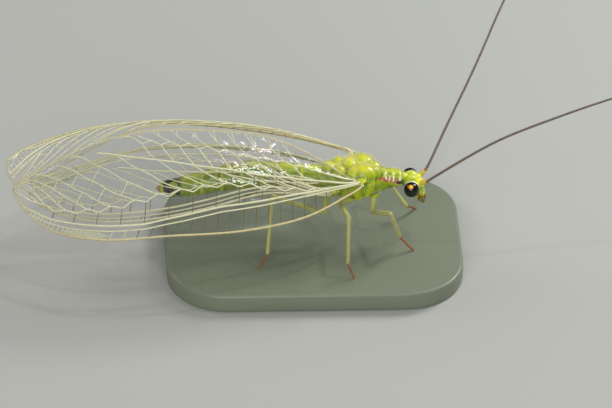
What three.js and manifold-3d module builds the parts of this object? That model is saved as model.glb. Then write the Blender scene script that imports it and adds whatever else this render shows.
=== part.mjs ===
// A green lacewing at rest on a thin display plate, life size.
// Millimetres. +X points to the head, +Y to the insect's left, +Z up.
// Places are first given from the forewing root line, with the plane of the feet at Z = 0.
// The whole group is then shifted so that its origin is the middle of its underside.
import * as THREE from 'three';
import { mergeVertices } from 'three/addons/utils/BufferGeometryUtils.js';
import Module from 'manifold-3d';

const wasm = await Module();
wasm.setup();

// Driving dimensions
const gap = 0.3; // clear space between neighbouring pieces
const fineGap = 0.18; // the same on the head, whose parts are smaller
const leanest = 0.5; // thinnest limb or vane, except at a tip
const wingThickness = leanest;
const veinLift = 0.16; // how far a main vein stands above the membrane
const crossVeinLift = 0.1;
const veinFoot = 0.15; // half width of a vein at the membrane
const veinRoom = 0.4; // the most of the space to the next vein that it takes
const eyeRadius = 0.3;
const eyeHeight = 0.27; // how far an eye stands out of the side of the head
const headHalfWidth = 0.34; // between the eyes
const scapeLength = 0.34; // the stout first joint of an antenna
const scapeRadius = 0.23;
const antennaTipRadius = 0.14;
const whipSteps = 9; // in each half of an antenna's whip
const toeRadius = 0.2;
const hipGap = 0.38; // under the trunk at the middle of a hip, whose rim stands closer
const hipSwell = 1.2; // how much stouter a leg is at the hip than along the shin
const limbEnd = { share: 0.12, radius: 0.8 }; // a joint's rounded end: its share of the length, its radius
const crossVeinFoot = 0.16; // half width of a cross vein along the wing
const fullLiftChord = 2; // veins are lower where a wing is narrower than this
const camber = 0.045; // how far a wing arches, as a share of its width
const tipShare = 0.1; // the last part of a wing, which thins
const tipThinning = 0.3;
const trunkSides = 18;
const shoulder = 0.14; // how far from its ends a length of the trunk draws in
const drawnIn = 0.12; // by how much of its width
const ringWaist = 0.94; // width of the abdomen where two rings meet, as a share of the rings'
const ringGroove = 0.1; // how near to that line the waist starts, as a sine
const skull = { middle: [2.56, 0, 2.06], halfDepth: 0.4, halfHeight: 0.56, lean: 0.16 };
const eyePlace = { x: 2.41, z: 2.28 };
const antennaSocket = { x: 0.74, away: 0.475, z: 0.475 }; // on the skull as a ball of radius 1
// Below the face: places from the face's lower end, as X, distance from the middle, Z and radius
const upperLip = [[0, 0, 0, 0.24], [0.1, 0, -0.2, 0.22], [0.16, 0, -0.42, 0.12]];
const palp = [[0.02, 0.12, -0.16, 0.11], [0.3, 0.26, -0.3, 0.1], [0.32, 0.28, -0.62, 0.06]];
const faceSlope = 0.12; // how far ahead of the skull's lowest point the lip hangs
const standSize = { length: 12, width: 8.4, thickness: 0.8, corner: 2.4, middleX: -1.5 };

// The trunk: place along X, half width, top and underside
const trunk = [
  { x: 1.95, half: 0.42, top: 2.72, bottom: 2.06 },
  { x: 1.7, half: 0.53, top: 2.88, bottom: 1.98 },
  { x: 1.4, half: 0.56, top: 2.92, bottom: 1.93 },
  { x: 1.1, half: 0.62, top: 2.98, bottom: 1.88 },
  { x: 0.75, half: 0.8, top: 3.2, bottom: 1.76 },
  { x: 0.3, half: 0.86, top: 3.34, bottom: 1.7 },
  { x: -0.2, half: 0.84, top: 3.34, bottom: 1.74 },
  { x: -0.7, half: 0.75, top: 3.26, bottom: 1.82 },
  { x: -1.1, half: 0.61, top: 3.16, bottom: 1.98 },
  { x: -1.75, half: 0.48, top: 3.12, bottom: 2.2 },
  { x: -2.8, half: 0.52, top: 3.24, bottom: 2.2 },
  { x: -4.1, half: 0.56, top: 3.34, bottom: 2.24 },
  { x: -5.2, half: 0.52, top: 3.1, bottom: 2.06 },
  { x: -6.2, half: 0.47, top: 2.8, bottom: 1.86 },
  { x: -7.1, half: 0.38, top: 2.56, bottom: 1.76 },
  { x: -7.7, half: 0.27, top: 2.4, bottom: 1.84 },
  { x: -7.95, half: 0.14, top: 2.28, bottom: 2.0 },
];
// Lobes of the back: place, and half size along X, Y and Z. Those away from the middle come in pairs
const trunkPieces = [
  {
    name: 'prothorax', from: 1.84, to: 1.3, steps: 6,
    lobes: [{ at: [1.62, 0.24, 2.68], size: [0.2, 0.26, 0.26] }],
  },
  {
    name: 'mesothorax', from: 1.0, to: -0.36, steps: 8,
    lobes: [
      { at: [0.76, 0.26, 3.02], size: [0.26, 0.28, 0.32] },
      { at: [0.36, 0.42, 3.14], size: [0.34, 0.36, 0.36] },
      { at: [-0.08, 0, 3.24], size: [0.24, 0.34, 0.28] },
    ],
  },
  {
    name: 'metathorax', from: -0.66, to: -1.26, steps: 5,
    lobes: [{ at: [-0.9, 0.3, 3.06], size: [0.22, 0.3, 0.26] }],
  },
  { name: 'abdomen', from: -1.56, to: -7.95, steps: 32, rings: 8, lobes: [] },
];

// Legs: where each hip stands under the trunk, then the joints from there out
const hips = {
  front: { x: 0.9, away: 0.42 },
  mid: { x: -0.08, away: 0.46 },
  hind: { x: -1.0, away: 0.42 },
};
const legs = {
  front_right: {
    bend: [0.84, -0.62, 1.22], knee: [1.46, -2.2, 2.26], ankle: [1.92, -1.3, 0.62], toe: [2.49, -1.43],
  },
  front_left: {
    bend: [0.86, 0.62, 1.22], knee: [1.06, 2.1, 1.95], ankle: [2.34, 1.3, 0.62], toe: [2.8, 1.62],
  },
  mid_right: {
    bend: [-0.14, -0.72, 1.2], knee: [-0.26, -2.85, 2.4], ankle: [-0.27, -2.95, 0.62], toe: [-0.02, -3.42],
  },
  mid_left: {
    bend: [-0.14, 0.72, 1.2], knee: [-0.2, 2.6, 1.86], ankle: [-0.22, 3.1, 0.62], toe: [0.03, 3.6],
  },
  hind_right: {
    bend: [-1.12, -0.66, 1.26], knee: [-3.1, -1.95, 2.5], ankle: [-3.48, -2.2, 0.62], toe: [-3.78, -2.56],
  },
  hind_left: {
    bend: [-1.12, 0.66, 1.26], knee: [-3.2, 1.7, 1.96], ankle: [-3.75, 2.3, 0.62], toe: [-4.1, 2.66],
  },
};
const toeHeight = 0.13;

// Margins of each wing from root to tip, as X, distance from the middle, Z. Both sides share the root's part
const forewingRoot = {
  front: [[0.7, 1.22, 2.9], [-0.2, 1.62, 2.8]],
  rear: [[-0.2, 1.16, 3.24], [-1.4, 0.72, 3.86], [-3.2, 0.38, 4.62], [-5.2, 0.36, 4.92]],
};
const forewings = {
  right: {
    front: [
      ...forewingRoot.front, [-2, 2.78, 2.56], [-4.5, 3.72, 2.6], [-7.5, 4.14, 2.69],
      [-10.2, 4.0, 2.45], [-12.2, 3.15, 2.35], [-13.2, 2.2, 2.6], [-13.62, 1.5, 2.95],
    ],
    rear: [
      ...forewingRoot.rear, [-8.4, 0.36, 4.86],
      [-10.6, 0.56, 4.46], [-12.2, 0.84, 3.86], [-13.1, 1.0, 3.42], [-13.62, 1.18, 3.14],
    ],
  },
  left: {
    front: [
      ...forewingRoot.front, [-2, 2.78, 2.46], [-4.5, 3.72, 2.28], [-7.5, 4.14, 2.28],
      [-10.2, 3.85, 2.36], [-12.2, 2.7, 2.58], [-13.3, 1.76, 2.76], [-13.86, 1.05, 2.86],
    ],
    rear: [
      ...forewingRoot.rear, [-8.4, 0.36, 4.8],
      [-10.6, 0.36, 3.92], [-12.2, 0.36, 2.94], [-13.1, 0.38, 2.66], [-13.68, 0.46, 2.54],
    ],
  },
};
const hindwingRoot = {
  front: [[-0.66, 1.2, 2.3], [-2, 1.28, 2.64], [-3.6, 1.5, 2.84], [-6.05, 2.2, 2.62]],
  rear: [[-1.3, 1.14, 2.58], [-2.2, 0.98, 3.04], [-3.6, 0.52, 3.68], [-5.2, 0.38, 3.9]],
};
const hindwings = {
  right: {
    front: [
      ...hindwingRoot.front, [-8.5, 2.6, 2.4],
      [-10.4, 2.36, 2.2], [-11.8, 1.8, 2.15], [-12.6, 1.34, 2.32], [-12.96, 1.02, 2.5],
    ],
    rear: [
      ...hindwingRoot.rear, [-8.4, 0.38, 3.84],
      [-10.4, 0.46, 3.46], [-11.8, 0.58, 3.02], [-12.6, 0.68, 2.78], [-12.96, 0.8, 2.64],
    ],
  },
  left: {
    front: [
      ...hindwingRoot.front, [-8.5, 2.6, 2.14],
      [-10.4, 2.3, 1.84], [-11.8, 1.7, 1.78], [-12.5, 1.24, 1.82], [-12.86, 0.96, 1.86],
    ],
    rear: [
      ...hindwingRoot.rear, [-8.4, 0.38, 3.76],
      [-10.4, 0.4, 2.92], [-11.8, 0.44, 2.08], [-12.5, 0.54, 1.88], [-12.86, 0.68, 1.86],
    ],
  },
};
const crossVeinCount = { forewing: 13, hindwing: 9 };

// Main veins: where each lies between the front margin (0) and the rear (1), at places from root to tip
const forewingVeins = {
  radius: { at: [0, 0.13, 0.27, 0.45, 0.57, 0.75, 1], across: [0.3, 0.28, 0.24, 0.17, 0.12, 0.14, 0.2] },
  sector: { at: [0, 0.16, 0.27, 0.4, 0.58, 0.8, 1], across: [0.48, 0.4, 0.42, 0.42, 0.31, 0.29, 0.4] },
  media: { at: [0, 0.16, 0.27, 0.4, 0.57, 0.7, 1], across: [0.64, 0.56, 0.57, 0.62, 0.67, 0.7, 0.66] },
  cubitus: { at: [0, 0.16, 0.27, 0.4, 0.6, 0.8, 1], across: [0.82, 0.74, 0.74, 0.79, 0.84, 0.87, 0.84] },
};
const hindwingVeins = {
  radius: { at: [0, 0.2, 0.5, 1], across: [0.3, 0.2, 0.13, 0.24] },
  sector: { at: [0, 0.2, 0.5, 1], across: [0.52, 0.44, 0.38, 0.5] },
  media: { at: [0, 0.2, 0.5, 1], across: [0.74, 0.7, 0.68, 0.76] },
};

// Antennae: places that each whip passes, from just past its first joint to its tip
const antennae = {
  right: [[5.79, -0.4, 4.48], [8.25, -0.1, 5.42], [10.56, 0.3, 6.06], [15.9, 0.9, 7.5]],
  left: [[3.98, 2.2, 3.48], [5.3, 4.75, 4.7], [6.6, 7.4, 6.05], [8.9, 11.8, 7.9]],
};

const model = new THREE.Group();

function material(colour, roughness, metalness = 0) {
  return new THREE.MeshStandardMaterial({ color: colour, roughness, metalness });
}

const finishes = {
  green: () => material(0x9cc832, 0.5),
  paleGreen: () => material(0xc3d67a, 0.5),
  tarsus: () => material(0x8a5a35, 0.6),
  antenna: () => material(0x8d6a5f, 0.6),
  eye: () => material(0x14110c, 0.15),
  mouth: () => material(0xb9a46a, 0.5),
  membrane: () => material(0xdde6dc, 0.2),
  stand: () => material(0x868d7a, 0.5),
};

function add(name, geometry, finish) {
  const mesh = new THREE.Mesh(geometry, finish());
  mesh.name = name;
  model.add(mesh);
}

// Moves every corner of a geometry to where place() puts it
function reshape(geometry, place) {
  const corners = geometry.attributes.position;
  const corner = new THREE.Vector3();
  for (let i = 0; i < corners.count; i += 1) {
    corner.fromBufferAttribute(corners, i);
    place(corner);
    corners.setXYZ(i, corner.x, corner.y, corner.z);
  }
  geometry.computeVertexNormals();
  return geometry;
}

// The value between two lists' entries, eased through them
function follow(at, values, where) {
  let i = 1;
  while (i < at.length - 1 && where > at[i]) {
    i += 1;
  }
  const part = THREE.MathUtils.clamp((where - at[i - 1]) / (at[i] - at[i - 1]), 0, 1);
  return THREE.MathUtils.lerp(values[i - 1], values[i], part * part * (3 - 2 * part));
}

function trunkAt(x) {
  const at = trunk.map((station) => -station.x);
  const read = (key) => follow(at, trunk.map((station) => station[key]), -x);
  const top = read('top');
  const bottom = read('bottom');
  return { half: read('half'), middle: (top + bottom) / 2, height: (top - bottom) / 2 };
}

// A closed length of the trunk, a little drawn in at its two ends and where its rings meet
function trunkLength({ from, to, steps, rings = 0 }) {
  const barrel = new THREE.CylinderGeometry(1, 1, 1, trunkSides, steps);
  return reshape(barrel, (p) => {
    const x = THREE.MathUtils.lerp(to, from, p.y + 0.5);
    const fromEnd = Math.min(1, Math.min(from - x, x - to) / shoulder);
    const ring = (rings * (from - x)) / (from - to);
    const atJoint = rings > 0 && Math.abs(Math.sin(Math.PI * ring)) < ringGroove;
    const rounded = 1 - drawnIn + drawnIn * Math.sqrt(1 - (1 - fromEnd) ** 2);
    const drawn = atJoint && fromEnd === 1 ? ringWaist : rounded;
    const section = trunkAt(x);
    p.set(x, -p.x * section.half * drawn, section.middle + p.z * section.height * drawn);
  });
}

function lobe([x, y, z], [sizeX, sizeY, sizeZ]) {
  const ball = new THREE.SphereGeometry(1, 12, 7);
  ball.rotateX(Math.PI / 2);
  ball.scale(sizeX, sizeY, sizeZ);
  ball.translate(x, y, z);
  return ball;
}

// A closed round tube through stations [x, y, z, radius]
function limb(stations, steps, sides = 8, reference = new THREE.Vector3(1, 0, 0)) {
  const path = new THREE.CatmullRomCurve3(
    stations.map(([x, y, z]) => new THREE.Vector3(x, y, z)), false, 'centripetal',
  );
  const at = stations.map((station, i) => i / (stations.length - 1));
  const radii = stations.map((station) => station[3]);
  const tube = new THREE.CylinderGeometry(1, 1, 1, sides, steps);
  return reshape(tube, (p) => {
    const t = 0.5 - p.y;
    const radius = follow(at, radii, t);
    const ahead = path.getTangent(t);
    const side = reference.clone().cross(ahead).normalize();
    const up = ahead.clone().cross(side);
    const middle = path.getPoint(t);
    p.copy(middle.addScaledVector(side, p.x * radius).addScaledVector(up, p.z * radius));
  });
}

function toSolid(geometry) {
  const bare = geometry.clone();
  bare.deleteAttribute('normal');
  bare.deleteAttribute('uv');
  const joined = mergeVertices(bare, 1e-4);
  return new wasm.Manifold(new wasm.Mesh({
    numProp: 3,
    vertProperties: new Float32Array(joined.attributes.position.array),
    triVerts: new Uint32Array(joined.index.array),
  }));
}

// The geometry of a solid's largest closed surface
function toGeometry(solid) {
  const largest = solid.decompose().reduce((a, b) => (a.volume() > b.volume() ? a : b));
  const mesh = largest.getMesh();
  const geometry = new THREE.BufferGeometry();
  geometry.setAttribute('position', new THREE.BufferAttribute(new Float32Array(mesh.vertProperties), 3));
  geometry.setIndex(Array.from(mesh.triVerts));
  geometry.computeVertexNormals();
  return geometry;
}

function union(pieces) {
  return toGeometry(pieces.map(toSolid).reduce((whole, piece) => whole.add(piece)));
}

// The place at a set distance from one place on the way to another
function towards(from, to, distance) {
  const start = new THREE.Vector3(...from);
  return new THREE.Vector3(...to).sub(start).setLength(distance).add(start).toArray();
}

function blend(a, b, part) {
  return a.map((value, i) => THREE.MathUtils.lerp(value, b[i], part));
}

function addTrunk() {
  for (const piece of trunkPieces) {
    const lobes = piece.lobes.flatMap(({ at: [x, away, z], size }) => {
      const sides = away > 0 ? [-1, 1] : [1];
      return sides.map((side) => lobe([x, side * away, z], size));
    });
    add(piece.name, union([trunkLength(piece), ...lobes]), finishes.green);
  }
}

// A dome on a flat disc, its axis along Y
function dome(radius, height, rings = 6, sides = 18) {
  const profile = [new THREE.Vector2(0, 0)];
  for (let i = 0; i <= rings; i += 1) {
    const turn = (i / rings) * (Math.PI / 2);
    profile.push(new THREE.Vector2(i === rings ? 0 : radius * Math.cos(turn), height * Math.sin(turn)));
  }
  return new THREE.LatheGeometry(profile, sides);
}

function addHead() {
  const { middle, halfHeight, halfDepth, lean } = skull;
  const cranium = reshape(new THREE.SphereGeometry(1, 18, 12), (p) => {
    p.set(middle[0] + halfDepth * p.x - lean * p.z, headHalfWidth * p.y, middle[2] + halfHeight * p.z);
  });
  add('head', cranium, finishes.green);
  for (const side of [-1, 1]) {
    const lens = dome(eyeRadius, eyeHeight);
    lens.rotateX(side < 0 ? Math.PI : 0);
    lens.translate(eyePlace.x, side * (headHalfWidth + fineGap), eyePlace.z);
    add(side < 0 ? 'eye_right' : 'eye_left', lens, finishes.eye);
  }
}

// Upper lip and jaws, with a feeler of the mouth on each side
function addMouthparts() {
  const ahead = skull.middle[0] + skull.lean + faceSlope;
  const top = skull.middle[2] - skull.halfHeight - fineGap;
  const under = (stations, side) => (
    stations.map(([x, away, z, radius]) => [ahead + x, side * away, top + z, radius])
  );
  const steps = 5;
  const pieces = [limb(under(upperLip, 1), steps, 12)];
  for (const side of [-1, 1]) {
    pieces.push(limb(under(palp, side), steps));
  }
  add('mouthparts', union(pieces), finishes.mouth);
}

// Each antenna is a stout first joint, set square on the brow and bent to its whip, and a whip in two lengths
function addAntenna(side, along) {
  const name = `antenna_${side}`;
  const { middle, halfHeight, halfDepth, lean } = skull;
  const away = (side === 'right' ? -1 : 1) * antennaSocket.away;
  const square = new THREE.Vector3(
    antennaSocket.x / halfDepth,
    away / headHalfWidth,
    (antennaSocket.z + (lean * antennaSocket.x) / halfDepth) / halfHeight,
  ).normalize();
  const brow = new THREE.Vector3(
    middle[0] + halfDepth * antennaSocket.x - lean * antennaSocket.z,
    headHalfWidth * away,
    middle[2] + halfHeight * antennaSocket.z,
  );
  const root = brow.clone().addScaledVector(square, fineGap).toArray();
  const bend = brow.addScaledVector(square, fineGap + scapeLength / 2).toArray();
  const scapeEnd = towards(bend, along[0], scapeLength / 2);
  add(
    `${name}_scape`,
    limb([[...root, scapeRadius * 0.9], [...bend, scapeRadius], [...scapeEnd, scapeRadius]], 4, 10),
    finishes.paleGreen,
  );
  const start = towards(scapeEnd, along[0], gap);
  const stout = leanest / 2;
  const whip = new THREE.CatmullRomCurve3(
    [start, ...along].map((place) => new THREE.Vector3(...place)), false, 'centripetal',
  );
  const halfGap = gap / 2 / whip.getLength();
  const lengths = [
    { part: 'inner', from: 0, to: 0.5 - halfGap, tip: stout },
    { part: 'outer', from: 0.5 + halfGap, to: 1, tip: antennaTipRadius },
  ];
  for (const { part, from, to, tip } of lengths) {
    const stations = [];
    for (let i = 0; i <= whipSteps; i += 1) {
      const place = whip.getPointAt(THREE.MathUtils.lerp(from, to, i / whipSteps)).toArray();
      stations.push([...place, THREE.MathUtils.lerp(stout, tip, i / whipSteps)]);
    }
    add(`${name}_${part}`, limb(stations, whipSteps, 8, new THREE.Vector3(0, 0, 1)), finishes.antenna);
  }
}

// A straight tube from one place to another, carried on a little past each end
function strut(from, to, radii, past = [0, 0]) {
  const a = new THREE.Vector3(...from);
  const b = new THREE.Vector3(...to);
  const ahead = b.clone().sub(a).normalize();
  const start = a.addScaledVector(ahead, -past[0]).toArray();
  const end = b.addScaledVector(ahead, past[1]).toArray();
  const { share, radius } = limbEnd;
  return limb([
    [...start, radii[0] * radius], [...blend(start, end, share), radii[0]],
    [...blend(start, end, 1 - share), radii[1]], [...end, radii[1] * radius],
  ], 6);
}

// Takes away all that lies beyond a plane
function cutBeyond(solid, place, normal, offset) {
  const size = 6; // well past the widest piece that is cut
  const block = new THREE.BoxGeometry(size, size, size);
  block.translate(0, 0, size / 2 + offset);
  block.applyQuaternion(new THREE.Quaternion().setFromUnitVectors(new THREE.Vector3(0, 0, 1), normal));
  block.translate(...place);
  return solid.subtract(toSolid(block));
}

// The plane that halves the bend at a joint
function mitre(before, joint, after) {
  const into = new THREE.Vector3(...joint).sub(new THREE.Vector3(...before)).normalize();
  const out = new THREE.Vector3(...after).sub(new THREE.Vector3(...joint)).normalize();
  return into.add(out).normalize();
}

function underTrunk(x, away, side) {
  const { half, middle, height } = trunkAt(x);
  return [x, side * away, middle - height * Math.sqrt(1 - (away / half) ** 2) - hipGap];
}

// A leg is hip and thigh, shin, and foot, each its own piece
function addLeg(name, { bend, knee, ankle, toe: [toeX, toeY] }) {
  const toe = [toeX, toeY, toeHeight];
  const hip = hips[name.split('_')[0]];
  const lean = leanest / 2;
  const past = lean * 0.6; // how far each piece runs past its joint before it is cut there
  const atKnee = mitre(bend, knee, ankle);
  const atAnkle = mitre(knee, ankle, toe);
  const top = underTrunk(hip.x, hip.away, Math.sign(bend[1]));
  const coxa = toSolid(strut(top, bend, [lean * hipSwell, lean], [0, past]));
  const femur = toSolid(strut(bend, knee, [lean * Math.sqrt(hipSwell), lean], [past, past]));
  const thigh = cutBeyond(coxa.add(femur), knee, atKnee, -gap / 2);
  const tibia = toSolid(strut(knee, ankle, [lean, lean], [past, past]));
  const shinTop = cutBeyond(tibia, knee, atKnee.clone().negate(), -gap / 2);
  const shin = cutBeyond(shinTop, ankle, atAnkle, -gap / 2);
  const tarsus = toSolid(strut(ankle, toe, [lean, toeRadius], [past, 0]));
  const foot = cutBeyond(tarsus, ankle, atAnkle.clone().negate(), -gap / 2);
  add(`leg_${name}_femur`, toGeometry(thigh), finishes.paleGreen);
  add(`leg_${name}_tibia`, toGeometry(shin), finishes.paleGreen);
  add(`leg_${name}_tarsus`, toGeometry(foot), finishes.tarsus);
}

// Closes a sheet into a plate: the same triangles on both faces, and a rim round the border
function plate(sheet, above, below) {
  const faces = Array.from(sheet.index.array);
  const count = above.length;
  const triangles = [];
  const edges = new Map();
  for (let i = 0; i < faces.length; i += 3) {
    const [a, b, c] = faces.slice(i, i + 3);
    triangles.push(a, b, c, c + count, b + count, a + count);
    for (const [from, to] of [[a, b], [b, c], [c, a]]) {
      if (!edges.delete(`${to} ${from}`)) {
        edges.set(`${from} ${to}`, [from, to]);
      }
    }
  }
  for (const [from, to] of edges.values()) {
    triangles.push(to, from, from + count, to, from + count, to + count);
  }
  const geometry = new THREE.BufferGeometry();
  geometry.setFromPoints([...above, ...below]);
  geometry.setIndex(triangles);
  geometry.computeVertexNormals();
  return geometry;
}

// Columns across a wing at one place along it: margins, and the two feet and the crest of each main vein
function columnsAt(veins, u, chord) {
  const places = Object.values(veins).map(({ at, across }) => follow(at, across, u));
  const marks = [0, ...places, 1];
  const columns = [{ across: 0, crest: true, field: 0 }];
  places.forEach((place, i) => {
    const before = Math.min(veinFoot / chord, (place - marks[i]) * veinRoom);
    const after = Math.min(veinFoot / chord, (marks[i + 2] - place) * veinRoom);
    columns.push({ across: place - before, field: i });
    columns.push({ across: place, crest: true, field: i });
    columns.push({ across: place + after, field: i + 1 });
    if (i > 0) {
      columns.push({ across: (place + marks[i + 2]) / 2, field: i + 1 });
    }
  });
  columns.push({ across: 1, crest: true, field: places.length });
  return columns;
}

// Rows along a wing: each cross vein has a crest row between two foot rows
function rowsAlong(crossVeins, length) {
  const rows = [{ u: 0 }];
  for (let k = 1; k <= crossVeins; k += 1) {
    const u = k / (crossVeins + 1);
    const foot = crossVeinFoot / length;
    rows.push({ u: u - foot }, { u, crossVein: k }, { u: u + foot });
  }
  rows.push({ u: 1 });
  return rows;
}

function addWing(name, outline, side, veins, crossVeins) {
  const trace = (places) => new THREE.CatmullRomCurve3(
    places.map(([x, away, z]) => new THREE.Vector3(x, side * away, z)), false, 'centripetal',
  );
  const front = trace(outline.front);
  const rear = trace(outline.rear);
  const surface = (u, v) => {
    const a = front.getPointAt(u);
    const b = rear.getPointAt(u);
    const chord = a.distanceTo(b);
    const arch = camber * chord * Math.sin(Math.PI * v);
    return a.lerp(b, v).add(new THREE.Vector3(0, 0, arch));
  };
  const rows = rowsAlong(crossVeins, front.getLength());
  const above = [];
  const below = [];
  const nudge = 0.004; // step in u and v for the slope of the surface
  let width = 0;
  for (const { u, crossVein } of rows) {
    const chord = front.getPointAt(u).distanceTo(rear.getPointAt(u));
    const columns = columnsAt(veins, u, chord);
    width = columns.length;
    const intoTip = Math.max(0, (u - 1 + tipShare) / tipShare);
    const half = (wingThickness / 2) * (1 - tipThinning * intoTip);
    for (const { across, crest, field } of columns) {
      const alongWing = surface(Math.min(u + nudge, 1), across).sub(surface(Math.max(u - nudge, 0), across));
      const acrossWing = surface(u, Math.min(across + nudge, 1)).sub(surface(u, Math.max(across - nudge, 0)));
      const normal = alongWing.cross(acrossWing).normalize();
      const crossed = crossVein && (field === 0 || (crossVein + field) % 2 === 0);
      const full = crest ? veinLift : crossVeinLift;
      const lift = crest || crossed ? full * Math.min(1, chord / fullLiftChord) : 0;
      const middle = surface(u, across);
      const up = normal.z > 0;
      above.push(middle.clone().addScaledVector(normal, half + (up ? lift : 0)));
      below.push(middle.clone().addScaledVector(normal, -half - (up ? 0 : lift)));
    }
  }
  const sheet = new THREE.PlaneGeometry(1, 1, width - 1, rows.length - 1);
  add(name, plate(sheet, above, below), finishes.membrane);
}

function addStand() {
  const { length, width, thickness, corner, middleX } = standSize;
  const x = length / 2 - corner;
  const y = width / 2 - corner;
  const outline = new THREE.Shape();
  outline.absarc(x, y, corner, 0, Math.PI / 2);
  outline.absarc(-x, y, corner, Math.PI / 2, Math.PI);
  outline.absarc(-x, -y, corner, Math.PI, Math.PI * 1.5);
  outline.absarc(x, -y, corner, Math.PI * 1.5, Math.PI * 2);
  const slab = new THREE.ExtrudeGeometry(outline, {
    depth: thickness, bevelEnabled: false, curveSegments: 8,
  });
  slab.translate(middleX, 0, -gap - thickness);
  add('stand_base', slab, finishes.stand);
}

addTrunk();
addHead();
addMouthparts();
for (const [side, along] of Object.entries(antennae)) {
  addAntenna(side, along);
}
for (const [name, leg] of Object.entries(legs)) {
  addLeg(name, leg);
}
for (const [name, sign] of [['right', -1], ['left', 1]]) {
  addWing(`forewing_${name}`, forewings[name], sign, forewingVeins, crossVeinCount.forewing);
  addWing(`hindwing_${name}`, hindwings[name], sign, hindwingVeins, crossVeinCount.hindwing);
}
addStand();

// The origin goes to the middle of the underside
const box = new THREE.Box3().setFromObject(model);
const centre = box.getCenter(new THREE.Vector3());
model.position.set(-centre.x, -centre.y, -box.min.z);

export default model;
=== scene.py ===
import bpy
import bmesh
import math

import numpy as np
from mathutils import Matrix, Vector


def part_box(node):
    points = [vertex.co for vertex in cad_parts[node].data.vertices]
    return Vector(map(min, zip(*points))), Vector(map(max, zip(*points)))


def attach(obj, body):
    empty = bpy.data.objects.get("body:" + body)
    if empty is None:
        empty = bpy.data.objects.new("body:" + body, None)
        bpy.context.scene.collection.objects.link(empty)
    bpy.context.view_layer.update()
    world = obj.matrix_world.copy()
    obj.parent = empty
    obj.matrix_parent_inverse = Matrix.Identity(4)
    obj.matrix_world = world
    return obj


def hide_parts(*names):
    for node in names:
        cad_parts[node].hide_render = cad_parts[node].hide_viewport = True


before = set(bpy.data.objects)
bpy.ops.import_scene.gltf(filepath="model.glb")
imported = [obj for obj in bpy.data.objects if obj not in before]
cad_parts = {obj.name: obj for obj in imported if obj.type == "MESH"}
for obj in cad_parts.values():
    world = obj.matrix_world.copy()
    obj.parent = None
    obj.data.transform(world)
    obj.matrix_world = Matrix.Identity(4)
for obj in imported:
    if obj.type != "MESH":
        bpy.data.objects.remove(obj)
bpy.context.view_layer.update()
scene = bpy.context.scene
print("frame loaded:", len(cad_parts), "nodes")

# Shapes are made in millimetres from the root line of the forewings, with the feet's plane at zero,
# and go into the frame's metres when a piece is finished
plateLow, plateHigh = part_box("stand_base")
plateMiddle = (plateLow + plateHigh) / 2
rootLine = {"aheadOfPlate": 0.0015, "abovePlate": 0.0003}
toRow = Matrix.Translation((
    plateMiddle.x + rootLine["aheadOfPlate"], plateMiddle.y, plateHigh.z + rootLine["abovePlate"],
)) @ Matrix.Scale(0.001, 4)
sides = {"right": -1, "left": 1}


# Small tools

def hexColour(code):
    parts = [int(code[i:i + 2], 16) / 255 for i in (1, 3, 5)]
    linear = [p / 12.92 if p <= 0.04045 else ((p + 0.055) / 1.055) ** 2.4 for p in parts]
    return (*linear, 1.0)


def addNode(tree, kind, inputs=None, **settings):
    # An input is given a value, or another node's output to be linked to
    node = tree.nodes.new(kind)
    for key, value in settings.items():
        setattr(node, key, value)
    for socket, value in (inputs or {}).items():
        if isinstance(value, bpy.types.NodeSocket):
            tree.links.new(value, node.inputs[socket])
        else:
            node.inputs[socket].default_value = value
    return node


def addObject(name, data):
    thing = bpy.data.objects.new(name, data)
    scene.collection.objects.link(thing)
    return thing


def meshOf(holder):
    # What an object comes to with its modifiers or its bevel. The object itself goes
    graph = bpy.context.evaluated_depsgraph_get()
    mesh = bpy.data.meshes.new_from_object(holder.evaluated_get(graph))
    bpy.data.objects.remove(holder)
    return mesh


def settle(mesh, modifiers):
    holder = addObject("holder", mesh)
    for kind, settings in modifiers:
        modifier = holder.modifiers.new(kind, kind)
        for key, value in settings.items():
            setattr(modifier, key, value)
    return meshOf(holder)


def toMesh(bm, name):
    mesh = bpy.data.meshes.new(name)
    bm.to_mesh(mesh)
    bm.free()
    return mesh


def finishPiece(name, mesh, nodes=(), materials=()):
    mesh.transform(toRow)
    mesh.name = name
    for material in materials:
        mesh.materials.append(material)
    mesh.shade_smooth()
    piece = addObject(name, mesh)
    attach(piece, "root")
    if nodes:
        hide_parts(*nodes)


def paintMarks(mesh, marks):
    for name, values in marks.items():
        layer = mesh.attributes.new(name, "FLOAT", "POINT")
        layer.data.foreach_set("value", np.clip(values, 0, 1))


def toSide(points, side):
    # Points given for the left side, on either side
    return np.array(points, float) * (1, side, 1)


def ramp(values, zero, one):
    # Even from 0 at the first value to 1 at the second
    return np.clip((values - zero) / (one - zero), 0, 1)


def unit(ways):
    # The same ways, each of length one
    return ways / np.maximum(np.linalg.norm(ways, axis=-1, keepdims=True), 1e-9)


def travelTo(places):
    # How far along a line each of its places lies
    return np.r_[0, np.cumsum(np.linalg.norm(np.diff(places, axis=0), axis=1))]


def placesAt(at, travelled, places):
    return np.stack([np.interp(at, travelled, column) for column in places.T], -1)


def smoothTrack(points, count=300):
    # Evenly spaced places on a smooth line through the points
    line = [Vector(point) for point in points]
    line = [2 * line[0] - line[1], *line, 2 * line[-1] - line[-2]]
    fine = []
    for spots in zip(line, line[1:], line[2:], line[3:]):
        knots = np.r_[0, np.cumsum([(b - a).length ** 0.5 for a, b in zip(spots, spots[1:])])]
        for t in np.linspace(knots[1], knots[2], 24, endpoint=False):
            # Neighbours are blended in three rounds, the last one between the middle two
            blend = spots
            for lows, highs in ((knots, knots[1:]), (knots, knots[2:]), (knots[1:], knots[2:])):
                blend = [a.lerp(b, (t - low) / (high - low))
                         for a, b, low, high in zip(blend, blend[1:], lows, highs)]
            fine.append(blend[0])
    fine = np.array([*fine, line[-2]])
    travelled = travelTo(fine)
    return placesAt(np.linspace(0, travelled[-1], count), travelled, fine)


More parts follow.
